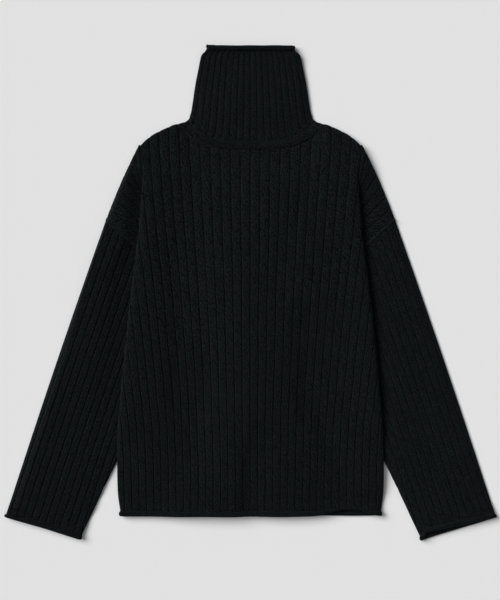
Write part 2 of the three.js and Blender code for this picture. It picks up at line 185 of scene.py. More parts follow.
def gentle_noise(x, y, size, seed):
    """Smooth unevenness from -1 to 1, from a few sines with seeded directions."""
    random = np.random.default_rng(seed)
    total = 0
    for _ in range(5):
        angle, phase = random.uniform(0, 2 * math.pi, 2)
        wave = 2 * math.pi / (size * random.uniform(0.7, 1.5))
        total = total + np.sin(wave * (x * math.cos(angle) + y * math.sin(angle)) + phase)
    return total / 5


# ---- heights of the layers

def overlap_share(x):
    """1 where a front that runs from its free edge towards +X is there, fading to 0 beyond that edge."""
    return smooth((x + FRONT_EDGE + 16) / 25 + 1)


def two_fronts(x):
    """1 where the two fronts overlap, fading to 0 on both sides."""
    return overlap_share(-np.abs(x))


def sleeve_lift(x, y):
    """How far the body is lifted by the sleeves and the drop shoulders under it."""
    ramp_end = table(UNDER_EDGE, y) - 12
    ramp_start = np.maximum(ramp_end - 105, 0)
    over_sleeve = smooth((np.abs(x) - ramp_start) / (ramp_end - ramp_start))
    near_tip = smooth((TIP_Y + 50 - y) / 80)
    near_hem = smooth((y + 335) / 50)
    return 2 * LAYER * over_sleeve * near_tip * near_hem


def body_lift(x, y):
    """How far the back is lifted by all that lies under it but the fronts."""
    over_buttons = smooth((95 - np.abs(x)) / 33) * smooth((y + 220) / 30) * smooth((200 - y) / 30)
    return np.maximum(sleeve_lift(x, y), LAYER * over_buttons)


def hem_lift(distance):
    """How much cloth rises over its own rolled end, by the distance from it."""
    return 2 * CURL_RADIUS * CURL_FLATTEN * smooth(1 - distance / 28)


def fold_relief(x, y):
    """Height of the soft folds of BACK_FOLDS."""
    rise = 0
    for x0, y0, x1, y1, width_left, width_right, height in BACK_FOLDS:
        along = np.array([x1 - x0, y1 - y0])
        part = np.clip(((x - x0) * along[0] + (y - y0) * along[1]) / (along @ along), 0, 1)
        beside = x - x0 - part * along[0]
        away = np.hypot(beside, y - y0 - part * along[1])
        width = mix(width_left, width_right, smooth(beside / 20 + 0.5))
        rise = rise + height * np.exp(-((away / width) ** 2))
    return rise


def back_top(x, y):
    """Height of the back's upper side: what lies under it, its puff and its folds."""
    half = np.abs(x)
    beside_overlap = mix(two_fronts(x), smooth((150 - half) / 96), smooth((neckline(x) - y) / 70))
    level = LAYER * (2 + beside_overlap)
    near_hem = smooth((y - HEM + 50) / 80)
    under_neck = neckline(np.minimum(half, NECK_HALF)) - y
    near_neck = smooth(under_neck / 85 + smooth((half - 90) / 40))
    from_side = table(SIDE_FOLD, y) - half
    beside_fold = EDGE_CROWN * np.exp(-(((from_side - 12) / 17) ** 2))
    beside_fold = beside_fold * smooth((170 - y) / 60) * smooth((y + 255) / 50)
    low_corner = smooth((-200 - y) / 60) * smooth(1 - from_side / np.where(x > 0, 115, 50))
    puff = BODY_PUFF * (1 - 0.9 * low_corner) * smooth((y - HEM - 8) / 40)
    crown = puff + fold_relief(x, y) + beside_fold
    crown = crown + 0.8 * gentle_noise(x, y, 120, 3)
    return body_lift(x, y) + level + np.maximum(crown, 0) * near_hem * near_neck + hem_lift(y - HEM)


# ---- ribs and shells

def rib_columns(first, last):
    """Rib numbers of all columns from rib `first` to rib `last`; whole numbers are gutters."""
    whole = np.arange(math.floor(first), math.ceil(last))
    columns = (whole[:, None] + RIB_COLUMNS[None, :]).ravel()
    columns = columns[(columns > first + 0.01) & (columns < last - 0.01)]
    return np.concatenate([[first], columns, [last]])


def rib_height(rib, gutter=GUTTER_SHARE):
    """Height of the ribbed side: 0 along the middle of a rib, a little lower beside it, and lowest in
    the narrow gutters."""
    phase = rib - np.floor(rib)
    to_gutter = np.minimum(phase, 1 - phase)
    return -RIB_DEPTH * (1 - smooth(to_gutter / gutter)) - 0.35 * (1 - 2 * to_gutter) ** 2


def unit(vectors):
    length = np.linalg.norm(vectors, axis=-1, keepdims=True)
    return vectors / np.maximum(length, 1e-9)


def shell(middle, normal, relief, rib, course, keep=None, wall=WALL, side=1, flip=False):
    """A closed shell over a grid. `middle` is the cloth's middle surface, rows by columns, `normal` its
    outward direction and `relief` the height of its outer side over a smooth cloth's. `keep` marks the
    cells that exist. `rib` and `course` become the UV map. `side` -1 mirrors it from the +X side to the
    -X side, and `flip` turns its faces round."""
    rows, columns = middle.shape[:2]
    reach = wall / 2
    outer = middle + normal * (reach + relief)[..., None]
    inner = middle - normal * reach
    if keep is None:
        keep = np.ones((rows - 1, columns - 1), bool)
    index = np.arange(rows * columns).reshape(rows, columns)
    a, b, c, d = index[:-1, :-1], index[:-1, 1:], index[1:, 1:], index[1:, :-1]
    under = rows * columns
    cells = np.stack([a, b, c, d], -1)[keep]
    faces = [cells, cells[:, ::-1] + under]
    padded = np.zeros((rows + 1, columns + 1), bool)
    padded[1:-1, 1:-1] = keep
    for step, start, end in ((-1, 0), a, b), ((0, 1), b, c), ((1, 0), c, d), ((0, -1), d, a):
        neighbour = padded[1 + step[0]:rows + step[0], 1 + step[1]:columns + step[1]]
        edge = keep & ~neighbour
        faces.append(np.stack([start[edge], start[edge] + under, end[edge] + under, end[edge]], -1))
    faces = np.concatenate(faces)
    if flip:
        faces = faces[:, ::-1]
    points = np.concatenate([outer.reshape(-1, 3), inner.reshape(-1, 3)]) * MM
    points[:, 0] *= side
    uv = np.stack([rib * WALES_PER_RIB, course / COURSE], -1).reshape(-1, 2)
    uv = np.concatenate([uv, uv])
    return points, faces, uv


def make_piece(name, shells, materials, node):
    """One object from one or more shells, standing for the CAD node it replaces. Each shell comes with
    the number of its material."""
    points, faces, uvs, numbers, count = [], [], [], [], 0
    for (shell_points, shell_faces, shell_uv), number in shells:
        used, shell_faces = np.unique(shell_faces, return_inverse=True)
        shell_faces = shell_faces.reshape(-1, 4)
        points.append(shell_points[used])
        uvs.append(shell_uv[used])
        faces.append(shell_faces + count)
        numbers.append(np.full(len(shell_faces), number, np.int32))
        count += len(used)
    points, faces, uvs = np.concatenate(points), np.concatenate(faces), np.concatenate(uvs)
    mesh = bpy.data.meshes.new(name)
    mesh.from_pydata(points.tolist(), [], faces.tolist())
    layer = mesh.uv_layers.new(name="UVMap")
    loops = np.zeros(len(mesh.loops), np.int32)
    mesh.loops.foreach_get("vertex_index", loops)
    layer.data.foreach_set("uv", uvs[loops].astype(np.float32).ravel())
    mesh.polygons.foreach_set("use_smooth", np.ones(len(mesh.polygons), bool))
    for material in materials:
        mesh.materials.append(material)
    mesh.polygons.foreach_set("material_index", np.concatenate(numbers))
    mesh.validate()
    mesh.update()
    piece = bpy.data.objects.new(name, mesh)
    bpy.context.scene.collection.objects.link(piece)
    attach(piece, "root")
    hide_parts(node)
    return piece


def grid_normals(points):
    """Upward normals of a height field given as a grid of points."""
    along_rows = np.gradient(points, axis=0)
    along_columns = np.gradient(points, axis=1)
    normal = unit(np.cross(along_columns, along_rows))
    return normal * np.where(normal[..., 2:] < 0, -1, 1)


def curled(middle, normal, down, share):
    """Adds rows after the last one that curl outwards. `down` points out of the cloth's end, and `share`,
    0 to 1 for each column, says how much of the curl a column has. A column without it runs on for a
    little, flat."""
    rows, normals = [], []
    share = np.broadcast_to(share, middle.shape[1])[:, None]
    for step in range(1, CURL_STEPS + 1):
        angle = CURL_TURN * step / CURL_STEPS
        out = CURL_RADIUS * (math.sin(angle) * share + (1 - share) * min(angle, 1.2))
        up = CURL_RADIUS * CURL_FLATTEN * (1 - math.cos(angle)) * share
        rows.append(middle[-1] + down * out + normal[-1] * up)
        turned = normal[-1] * mix(1, math.cos(angle), share) - down * math.sin(angle) * share
        normals.append(unit(turned))
    return np.concatenate([middle, np.array(rows)]), np.concatenate([normal, np.array(normals)])


def curled_hem(middle, normal, course, share):
    """Curls the first row, where the cloth ends downwards, and counts its stitches on."""
    down = np.array([0.0, -1.0, 0.0])
    middle, normal = curled(middle[::-1], normal[::-1], down, share)
    added = course[0] - np.arange(CURL_STEPS, 0, -1)[:, None] * CURL_COURSE
    return middle[::-1], normal[::-1], np.concatenate([added, course])


def curled_end(middle, normal, relief, cut, course, out, share):
    """Curls the last row in the same way. The ribs are flatter there, and a cut column stays cut."""
    middle, normal = curled(middle, normal, out, share)
    relief = np.concatenate([relief, np.repeat(relief[-1:] * 0.6, CURL_STEPS, 0)])
    cut = np.concatenate([cut, np.repeat(cut[-1:], CURL_STEPS, 0)])
    added = course[-1:] + np.arange(1, CURL_STEPS + 1)[:, None] * CURL_COURSE
    return middle, normal, relief, cut, np.concatenate([course, added])


# ---- back

def back_columns_x(rib, y):
    """X of the back's ribs, counted along the cloth. They wander a little."""
    straight = rib * table(BACK_PITCH, y)
    return straight + 0.9 * gentle_noise(straight, y, 150, 5) * smooth((13 - np.abs(rib)) / 5)


def lifted_share(x):
    """How much the back's hem is drawn up and off the fronts' hem: only near its +X corner."""
    return np.exp(-np.abs((x - 150) / 35) ** 2.6)


def back_hem(x):
    """The hem's edge before its curl, drawn up near the +X corner and slightly uneven."""
    return HEM + 3.7 + HEM_DRAWN_UP * lifted_share(x) + 0.7 * gentle_noise(x, x * 0, 90, 8)


def fan_top(x, tuck=0.0):
    """Where a panel's main part ends: the neckline and the shoulder line. The ends of the neckline are
    tucked under the neckband by `tuck`."""
    half = np.abs(x)
    under_band = neckline(x) - 0.6 + tuck * smooth((half - 80) / 25)
    return np.where(half < NECK_HALF, under_band, table(SHOULDER_LINE, half))


def edge_rounding(distance):
    """How far a surface drops towards an edge that is `distance` away."""
    radius = 3.0
    inside = np.clip(1 - distance / radius, 0, 1)
    return radius * (1 - np.sqrt(np.maximum(1 - inside ** 2, 0)))


def back_main():
    """The back between its side seams, from the hem to the neckline and the shoulder line. Both sides
    are folded round and under, over the sleeves."""
    rib = rib_columns(-RIBS, RIBS)
    low_rows = np.linspace(0, 1, 118)
    top_rows = np.concatenate([np.linspace(0, 0.9, 12), [0.95, 0.975, 0.99, 1]])
    x_hem = back_columns_x(rib, np.full_like(rib, HEM))
    start = back_hem(x_hem)
    y = mix(start[None, :], TIP_Y, low_rows[:, None])
    end = np.full_like(rib, TIP_Y)
    for _ in range(6):
        end = fan_top(np.clip(back_columns_x(rib, end), -TIP_X, TIP_X), BAND_TUCK)
    y = np.concatenate([y, mix(TIP_Y, end[None, :], top_rows[1:, None])])
    ribs = np.broadcast_to(rib, y.shape)
    side = np.sign(ribs)
    along = side * back_columns_x(ribs, y)

    # The part beyond the side fold turns round it and under. Above the shoulder tip there is no fold
    no_fold = 400
    fold = np.where(y > TIP_Y, no_fold, table(SIDE_FOLD, y))
    turn_most = math.pi * smooth((TIP_Y - y) / 35)
    beyond = np.maximum(along - (fold - FOLD_RADIUS), 0)
    angle = np.minimum(beyond / FOLD_RADIUS, turn_most)
    rest = beyond - angle * FOLD_RADIUS
    out = np.minimum(along, fold - FOLD_RADIUS) + FOLD_RADIUS * np.sin(angle) + rest * np.cos(angle)
    drop = FOLD_RADIUS * (1 - np.cos(angle)) + rest * np.sin(angle)
    x = side * out
    z = back_top(side * np.minimum(along, fold), y) - WALL / 2
    shoulder = (np.abs(x) > NECK_HALF) & (y > TIP_Y)
    z = z - np.where(shoulder, edge_rounding(fan_top(x) - y), 0)
    normal = grid_normals(np.stack([side * along, y, z], -1))
    turned = np.stack([side * np.sin(angle), np.zeros_like(y), np.cos(angle)], -1)
    normal = unit(np.where((beyond > 0)[..., None], turned, normal))
    middle = np.stack([x, y, z - drop], -1)

    # The hem curls, but not where it is turned under, and less where it is lifted
    middle[..., 2] += HEM_LIFT * lifted_share(x) * smooth(1 - (y - start) / 60)
    curl_share = smooth((math.pi * 0.75 - angle[0]) / 1.2) * (1 - 0.7 * lifted_share(x_hem))
    normal[0] = unit(normal[0] * np.array([1.0, 0.0, 1.0]))
    middle, normal, course = curled_hem(middle, normal, y, curl_share)
    rolled = np.arange(len(middle)) < CURL_STEPS
    ribs = np.broadcast_to(rib, course.shape)
    plain_strip = smooth((course - y[0] - 3) / 4)
    relief = rib_height(ribs, table(BACK_GUTTER, course))
    relief = relief * np.where(rolled[:, None], CURL_RELIEF, mix(0.15, 1, plain_strip))
    near_neck = smooth((fan_top(back_columns_x(ribs, course)) - course - 1.0) / 3)
    relief = relief * mix(0.3, 1, near_neck) - 1.6 * (1 - near_neck)

    # Cells past the turn under are left out, and so are those beyond the shoulder tip
    beyond_all = np.concatenate([np.repeat(beyond[:1], CURL_STEPS, 0), beyond])
    limit = math.pi * FOLD_RADIUS + TURN_UNDER
    last_rib = TIP_RIB + 0.01
    past = np.where(course > TIP_Y - 1, np.abs(ribs) > last_rib, beyond_all > limit)
    near_tip = (course <= TIP_Y - 1) & (course > TIP_Y - 40)
    past = np.where(near_tip, np.abs(ribs) > last_rib + 0.9 * smooth((TIP_Y - course) / 40), past)
    keep = ~(past[:-1, :-1] | past[:-1, 1:] | past[1:, :-1] | past[1:, 1:])
    return shell(middle, normal, relief, ribs, course, keep)


def arm_crown(x, y, inwards, width, side):
    """How much the arm's upper layer is puffed between its outer edge and the body's fold. The -X arm
    slopes down towards the body, and the +X arm lies flatter."""
    beside_body = x - table(SIDE_FOLD, y)
    room = mix(beside_body, width - inwards, smooth((-240 - y) / 60))
    if side < 0:
        high = smooth((y + 240) / 280)
        ramp = mix(52, 28, smooth((y - 20) / 60))
        puff = mix(3.5, 11.5, high) * smooth(room / ramp) + 3.5 * np.clip(room / 110, 0, 1)
        return puff * smooth(inwards / mix(16, 5, high))
    return 3.2 * smooth(room / 26) * smooth(inwards / 20)


def drop_height(x, y, tip_x, from_edge, side):
    """The drop shoulder comes down from the shoulder tip to lie on the front's."""
    away = np.where(y > TIP_Y, np.maximum(x - tip_x, 0), np.hypot(x - tip_x, (y - TIP_Y) * 0.8))
    near = np.exp(-((away / (15 if side < 0 else 22)) ** 2))
    crown = arm_crown(x, y, from_edge * 0.85, SLEEVE_TOP_WIDTH, side)
    return mix(2 * LAYER + 0.1 + crown, back_top(x, y), near)


def drop_rib_points(rib, column):
    """X and Y from DROP_RIBS for each rib, from its columns `column` and the next."""
    return np.stack([np.interp(rib, DROP_RIBS[:, 0], DROP_RIBS[:, column + i]) for i in (0, 1)], -1)


def back_drop(side):
    """The drop shoulder: its ribs start at the shoulder line and pass under the body's side fold."""
    rib = rib_columns(TIP_RIB, RIBS)
    share = np.concatenate([[0, 0.01, 0.025, 0.05], np.linspace(0.1, 1, 34)])
    line = mix(drop_rib_points(rib, 1)[None], drop_rib_points(rib, 3)[None], share[:, None, None])
    bow = np.interp(rib, [11, 12, 14, 18], [6, 5, 3, 1])[None, :] * np.sin(math.pi * share)[:, None]
    x = line[..., 0] + bow * 0.9
    y = line[..., 1] + bow * 0.3
    # The first rib is the main part's last one, down to the shoulder tip
    tip_x = TIP_RIB * table(BACK_PITCH, TIP_Y)
    joined = smooth((12.2 - rib) / 1.2)[None, :]
    y_first = mix(fan_top(TIP_X), 128, share)[:, None]
    x_first = np.where(
        y_first > TIP_Y, TIP_RIB * table(BACK_PITCH, y_first), tip_x - 18 * smooth((TIP_Y - y_first) / 62),
    )
    x = mix(x, x_first, joined)
    y = mix(y, y_first, joined)
    from_edge = np.hypot(x - x[:1], y - y[:1])
    z = drop_height(x, y, tip_x, from_edge, side) - WALL / 2 - edge_rounding(from_edge)
    middle = np.stack([x, y, z], -1)
    normal = grid_normals(middle)
    ribs = np.broadcast_to(rib, x.shape)
    relief = FLATTER_RIBS * rib_height(ribs) * mix(0.3, 1, smooth(from_edge / 4))
    relief = relief - 1.1 * smooth(1 - (RIBS - ribs) / 0.17)
    course = np.broadcast_to(share[:, None] * 100, x.shape)
    return shell(middle, normal, relief, ribs, course, side=side, flip=side > 0)


# ---- fronts

BUTTON_RADIUS = (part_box("button_1_1")[1].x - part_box("button_1_1")[0].x) / 2 / MM
BUTTON_PLACES = [
    (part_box(name)[0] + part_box(name)[1]) / 2 / MM
    for name in sorted(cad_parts) if name.startswith("button_")
]


def outer_front_bottom(x, y):
    """The outer front's underside: it is lifted only round its buttons, and by what it lies on."""
    lift = sleeve_lift(x, y)
    for place in BUTTON_PLACES:
        away = np.hypot(x - place.x, y - place.y)
        lift = np.maximum(lift, LAYER * smooth((BUTTON_RADIUS + 17 - away) / 14))
    return lift


def front(side, inner):
    """One front: its ribs run from the free edge to the side. `inner` is the one that lies on the
    other in the overlap."""
    rib = rib_columns(0, FRONT_RIBS)
    y_rows = np.concatenate([np.linspace(0, 0.985, 96), [0.992, 1]])
    share = (rib / FRONT_RIBS)[None, :]
    x_top = mix(-FRONT_EDGE, TIP_X, share)
    top = fan_top(x_top) - 0.4
    hem = HEM + 4 + 0.5 * gentle_noise(x_top * side, x_top * 0, 80, 15 + inner)
    y = mix(hem, top, y_rows[:, None])
    above_tip = mix(table(SIDE_FOLD, TIP_Y), TIP_X, smooth((y - TIP_Y) / 30))
    below_tip = table(SIDE_FOLD, y) - 9 * smooth((TIP_Y - y) / 40)
    x = mix(-FRONT_EDGE, np.where(y > TIP_Y, above_tip, below_tip), share)
    bottom = outer_front_bottom(x * side, y) + hem_lift(y - hem)
    if inner:
        over = overlap_share(-x)
        lift = body_lift(x * side, y) + hem_lift(y - hem)
        bottom = mix(bottom, lift + LAYER, over)
    middle = np.stack([x, y, bottom + WALL / 2], -1)
    normal = -grid_normals(middle)
    curl_share = (1 - over[0]) if inner else 1.0
    middle, normal, course = curled_hem(middle, normal, y, curl_share)
    ribs = np.broadcast_to(rib, course.shape)
    rolled = np.arange(len(middle)) < CURL_STEPS
    relief = rib_height(ribs) * np.where(rolled, CURL_RELIEF, 1)[:, None]
    relief = np.where(course < HEM + 12, relief * 0.3, relief) * FLATTER_RIBS
    return shell(middle, normal, relief, ribs, course, side=side, flip=side > 0)


def front_drop(side):
    """The front's half of the drop shoulder, on the floor under the back's."""
    rib = rib_columns(TIP_RIB, RIBS)
    share = np.linspace(0, 1, 22)
    end_x = np.interp(rib, [TIP_RIB, RIBS], [152, 86])
    end_y = np.interp(rib, [TIP_RIB, RIBS], [128, -11])
    end = np.stack([end_x, end_y], -1)
    line = mix(drop_rib_points(rib, 1)[None], end[None], share[:, None, None])
    x, y = line[..., 0], line[..., 1]
    z = np.full_like(x, WALL / 2 + 0.3)
    z = z + LAYER * np.exp(-((np.hypot(x - 168, (y - TIP_Y) * 0.8) / 24) ** 2))
    middle = np.stack([x, y, z], -1)
    ribs = np.broadcast_to(rib, x.shape)
    relief = rib_height(ribs) * FLATTER_RIBS
    course = np.broadcast_to(share[:, None] * 160, x.shape)
    return shell(middle, -grid_normals(middle), relief, ribs, course, side=side, flip=side < 0)


# ---- sleeves

SLEEVE_RADIUS = SLEEVE_HALF_HEIGHT - WALL / 2      # of the cloth's middle at the tube's edges
QUARTER = math.pi * SLEEVE_RADIUS / 2              # cloth from the outer edge to the flat upper layer
# How far from the armhole the cuff's end is, by the distance from the outer edge: side, layer
CUFF_ENDS = {
    (1, "upper"): np.array([(0, 478.6), (89, 469.2), (108, 467.8), (119, 475.5)], float),
    (1, "lower"): np.array([(0, 480.3), (93, 476.3), (119, 476.5)], float),
    (-1, "upper"): np.array([(0, 478.9), (62, 475.5), (116, 474.3)], float),
    (-1, "lower"): np.array([(0, 479.5), (35, 478.3), (62, 475), (119, 474)], float),
}


def arm_surface(around, distance, side, seed, cuff_end):
    """Middle surface and normals of the sleeve's tube, and which points are past its inner edge.
    `around` is counted along the cloth from the outer edge, over the top if it is positive."""
    upper = around > 0
    turned = np.abs(around)
    width = table(SLEEVE_WIDTH, distance)
    flat_length = width - 2 * SLEEVE_HALF_HEIGHT
    along = np.minimum(turned, QUARTER * 2 + flat_length)
    start_angle = np.clip(along / SLEEVE_RADIUS, 0, math.pi / 2)
    end_angle = np.clip((along - QUARTER - flat_length) / SLEEVE_RADIUS, 0, math.pi / 2)
    inset = SLEEVE_HALF_HEIGHT - SLEEVE_RADIUS * np.cos(start_angle) + SLEEVE_RADIUS * np.sin(end_angle)
    inwards = inset + np.clip(along - QUARTER, 0, flat_length)
    height = SLEEVE_RADIUS * (np.sin(start_angle) - (1 - np.cos(end_angle)))
    way = np.where(upper, 1.0, -1.0)
    bow = 1.2 + 1.8 * np.sin(math.pi * np.clip(distance / SLEEVE_LENGTH, 0, 1))
    flat = SEAM_OUTER + distance[..., None] * SLEEVE_DOWN + (inwards - bow)[..., None] * SLEEVE_ACROSS
    uneven = 1 + 0.25 * gentle_noise(flat[..., 0] * 0.5, flat[..., 1], 110, seed + 1)
    crown = upper * arm_crown(flat[..., 0], flat[..., 1], inwards, width, side) * uneven
    crown = crown * smooth((cuff_end - distance) / 30)
    z = SLEEVE_HALF_HEIGHT + way * height + hem_lift(cuff_end - distance) + crown
    middle = np.concatenate([flat, z[..., None]], -1)
    before = start_angle < math.pi / 2
    lean = np.where(before, -np.cos(start_angle), np.sin(end_angle))
    rise = way * np.where(before, np.sin(start_angle), np.cos(end_angle))
    normal = unit(lean[..., None] * np.append(SLEEVE_ACROSS, 0) + rise[..., None] * np.array([0, 0, 1.0]))
    return middle, normal, turned > along + 1e-6


def sleeve(side, seed):
    """A flattened tube. Its ribs are parallel to its outer edge, on both layers."""
    first_gutter = QUARTER + 6 - SLEEVE_HALF_HEIGHT
    most = QUARTER * 2 + SLEEVE_TOP_WIDTH - 2 * SLEEVE_HALF_HEIGHT
    rib = rib_columns(-first_gutter / SLEEVE_PITCH, (most - first_gutter) / SLEEVE_PITCH)
    around = rib * SLEEVE_PITCH + first_gutter
    around = np.concatenate([-around[:0:-1], around])
    across = np.abs(around)
    ribs = (across - first_gutter) / SLEEVE_PITCH
    share = np.concatenate([[0, 0.004, 0.009, 0.016], np.linspace(0.03, 1, 92)])[:, None]
    seam = (SEAM_SLANT * np.clip(across, 0, 180) + 0.4)[None, :]
    upper_end, lower_end = (table(CUFF_ENDS[side, layer], across) for layer in ("upper", "lower"))
    cuff_end = mix(lower_end, upper_end, smooth((around + 5) / 10))
    cuff_end = (cuff_end + 0.5 * gentle_noise(around, 0, 60, seed))[None, :]
    distance = mix(seam, cuff_end, share)
    around = np.broadcast_to(around, distance.shape)
    middle, normal, cut = arm_surface(around, distance, side, seed, cuff_end)
    ribs = np.broadcast_to(ribs, distance.shape)
    relief = rib_height(ribs) * mix(0.15, 1, smooth((distance - seam - 0.5) / 4))
    relief = relief - 1.0 * smooth(1 - (distance - seam) / 2.4)
    relief = relief * mix(0.2, 1, smooth((cuff_end - distance - 3) / 5))
    at_edge = 1 - np.abs(normal[-1, :, 2])
    out = np.append(SLEEVE_DOWN, 0)
    middle, normal, relief, cut, course = curled_end(
        middle, normal, relief, cut, distance, out, 1 - 0.45 * at_edge)
    keep = ~(cut[:-1, :-1] & cut[1:, :-1] & cut[:-1, 1:] & cut[1:, 1:])
    ribs = np.broadcast_to(ribs[:1], course.shape)
    return shell(middle, normal, relief, ribs, course, keep, side=side, flip=side > 0)


def armhole_seam(side, seed):
    """The linked seam between sleeve and drop shoulder: a raised bead, as far as it can be seen."""
    stitch = 2.3
    first, last = -1.6, 66
    no_cuff = 999.0
    around = np.linspace(first, last, 200)[None, :]
    offset = np.linspace(-2.4, 2.4, 9)[:, None]
    distance = SEAM_SLANT * np.abs(around) + offset
    around = np.broadcast_to(around, distance.shape)
    middle, normal, _ = arm_surface(around, distance, side, seed, no_cuff)
    knots = 0.4 * np.cos(around / stitch * 2 * math.pi)
    dome = np.sqrt(np.maximum(1 - (offset / 2.5) ** 2, 0))
    middle = middle + normal * (WALL / 2 - 0.5)
    relief = dome * (1.35 + knots) * smooth((around - first) / 4)
    course = np.broadcast_to(offset, distance.shape)
    ribs = around / stitch / WALES_PER_RIB
    return shell(middle, normal, relief, ribs, course, wall=0.8, side=side, flip=side > 0)


# ---- collar and neckband

COLLAR_RIBS = 8.6             # ribs from the middle of the collar's back layer to its folded side
COLLAR_CREST = 3.8            # the back layer's puff
NECKBAND_WALES = 234          # knots round the whole neckband


def neck_loop(along, half, lift):
    """The path round the neck at one height. `along` is counted along the cloth from the middle of the
    back layer, towards +X if positive, where it ends on the lower front layer, and towards -X if
    negative, where it ends on the upper front layer. `half` is the half-width at the folded sides.
    Gives x, z and the outward direction."""
    radius = LAYER / 2
    side = np.where(along > 0, 1.0, -1.0)
    far = np.abs(along)
    flat_end = half - radius - WALL / 2
    angle = np.clip((far - flat_end) / radius, 0, math.pi)
    under = np.maximum(far - flat_end - math.pi * radius, 0)
    x = side * (np.minimum(far, flat_end) + radius * np.sin(angle) - under)
    back_z = LAYER * (1 + two_fronts(x)) + WALL / 2
    front_z = np.where(side > 0, 0, LAYER * overlap_share(x)) + WALL / 2
    end_back = LAYER * (1 + two_fronts(flat_end)) + WALL / 2
    end_front = np.where(side > 0, 0, LAYER * overlap_share(-flat_end)) + WALL / 2
    turn_z = mix(end_front, end_back, (1 + np.cos(angle)) / 2)
    z = np.where(far < flat_end, back_z, np.where(under > 0, front_z, turn_z)) + lift
    return x, z, side * np.sin(angle), np.cos(angle)


def loop_end(half):
    """Length of cloth from the middle of the back layer to a front's free edge."""
    flat_end = half - LAYER / 2 - WALL / 2
    return flat_end + math.pi * LAYER / 2 + flat_end + FRONT_EDGE


def collar():
    """The funnel collar: its cloth runs once round the neck, and its ends overlap like the fronts."""
    share = np.concatenate([[0, 0.012, 0.03], np.linspace(0.05, 1, 46)])[:, None]
    top = COLLAR_TOP - 4.5
    side_y = mix(COLLAR_SIDE[0, 0] + 0.3, top, share)
    half = table(COLLAR_SIDE, side_y)
    pitch = (half - 2) / COLLAR_RIBS
    widest_pitch = (BAND_HALF - 2) / COLLAR_RIBS
    most = loop_end(BAND_HALF) / widest_pitch + 0.8
    rib = rib_columns(-most, most)[None, :] - 0.12
    along = rib * pitch
    end = loop_end(half)
    cut = np.abs(along) > end
    along = np.clip(along, -end, end)
    length = 110
    lift = 2 * CURL_RADIUS * CURL_FLATTEN * smooth(1 - (1 - share) * length / 26)
    x, z, out_x, out_z = neck_loop(along, half, lift)
    base = band_top(x * BAND_HALF / half) + 0.4
    crest = smooth(share / 0.34) * (1 - smooth((share - 0.3) / 0.7))
    uneven_crest = COLLAR_CREST + 0.6 * gentle_noise(x, side_y, 60, 31)
    crown = (out_z > 0.9) * (1 - (x / half) ** 4) * crest * uneven_crest
    uneven = 0.5 * gentle_noise(x, x * 0, 50, 33)
    uneven = uneven + 2.0 * smooth((10 - np.abs(x + 62)) / 3) * smooth(-out_z * 2)
    y = mix(base, top + uneven, share)
    middle = np.stack([x, y, z + crown], -1)
    normal = np.stack([out_x, np.zeros_like(y), out_z], -1)
    ribs = np.broadcast_to(rib, y.shape)
    relief = rib_height(ribs) * mix(0.3, 1, smooth((y - base - 0.5) / 3))
    relief = relief - 0.8 * smooth(1 - (y - base) / 1.5)
    relief = relief * mix(0.2, 1, smooth((top - y - 3) / 5))
    inner_front = (along[-1] < 0) & (out_z[-1] < -0.9)
    curl_share = np.where(inner_front, 0.0, 1 - 0.5 * np.abs(out_x[-1]))
    up = np.array([0.0, 1.0, 0.0])
    middle, normal, relief, cut, course = curled_end(middle, normal, relief, cut, y, up, curl_share)
    keep = ~((cut[:-1, :-1] & cut[1:, :-1]) | (cut[:-1, 1:] & cut[1:, 1:]))
    ribs = np.broadcast_to(rib, course.shape)
    return shell(middle, normal, relief, ribs, course, keep)


def neckband():
    """The narrow linked strip between body and collar, with a knot for each wale."""
    share = np.linspace(0, 1, 10)[:, None]
    half = mix(NECK_HALF + 0.3, BAND_HALF - 1.2, share ** 1.9)
    columns_per_wale = 5
    round_neck = np.linspace(-1, 1, NECKBAND_WALES * columns_per_wale + 1)[None, :]
    x, z, out_x, out_z = neck_loop(round_neck * loop_end(half), half, 0)
    low = neckline(x * NECK_HALF / half) - 0.8
    high = band_top(x * BAND_HALF / half) + 0.8
    y = mix(low, high, share)
    middle = np.stack([x, y, z], -1)
    normal = np.stack([out_x, np.zeros_like(y), out_z], -1)
    seen = smooth((out_z + 0.75) / 0.6)
    middle = middle + normal * 1.1 * seen[..., None]
    bulge = np.sin(math.pi * np.clip(share, 0.02, 0.98)) ** 0.5
    knots = 0.75 * np.cos(round_neck * NECKBAND_WALES * math.pi)
    relief = (1.1 + knots) * bulge * mix(0.2, 1, seen) - 0.9
    ribs = np.broadcast_to(round_neck * NECKBAND_WALES / 2 / WALES_PER_RIB, x.shape)
    return shell(middle, normal, relief, ribs, y)


# ---- materials

KNIT_DARK = (0.0008, 0.0011, 0.0012)
KNIT_LIGHT = (0.0097, 0.0122, 0.0138)
# The light yarn is mottled between these two tints
COOL_TINT = (0.66, 1.055, 1.03)
WARM_TINT = (1.34, 0.94, 0.97)
LEG_SLOPE = 1.3               # stitches that a leg of a V climbs in one wale
GUTTER_PAINTED_SHADE = 0.22           # painted shade: how much darker the colour is in a rib gutter
TUFTS = 700.0                 # sizes of the mottling, in noise cells per metre
FUZZ = 1500.0
TINT_PATCHES = 380.0


def node_tools(material):
    """Short forms for a material's nodes: `node` makes one with its inputs set or linked, and gives its
    outputs, and `calc` makes a Math node and gives its result."""
    material.use_nodes = True
    tree = material.node_tree
    tree.nodes.clear()

    def feed(socket, value):
        if isinstance(value, bpy.types.NodeSocket):
            tree.links.new(value, socket)
        else:
            socket.default_value = value

    def node(kind, inputs, **settings):
        made = tree.nodes.new("ShaderNode" + kind)
        for key, value in settings.items():
            setattr(made, key, value)
        for name, value in inputs.items():
            feed(made.inputs[name], value)
        return made.outputs

    def calc(operation, *values):
        made = tree.nodes.new("ShaderNodeMath")
        made.operation = operation
        for socket, value in zip(made.inputs, values):
            feed(socket, value)
        return made.outputs[0]

    return node, calc


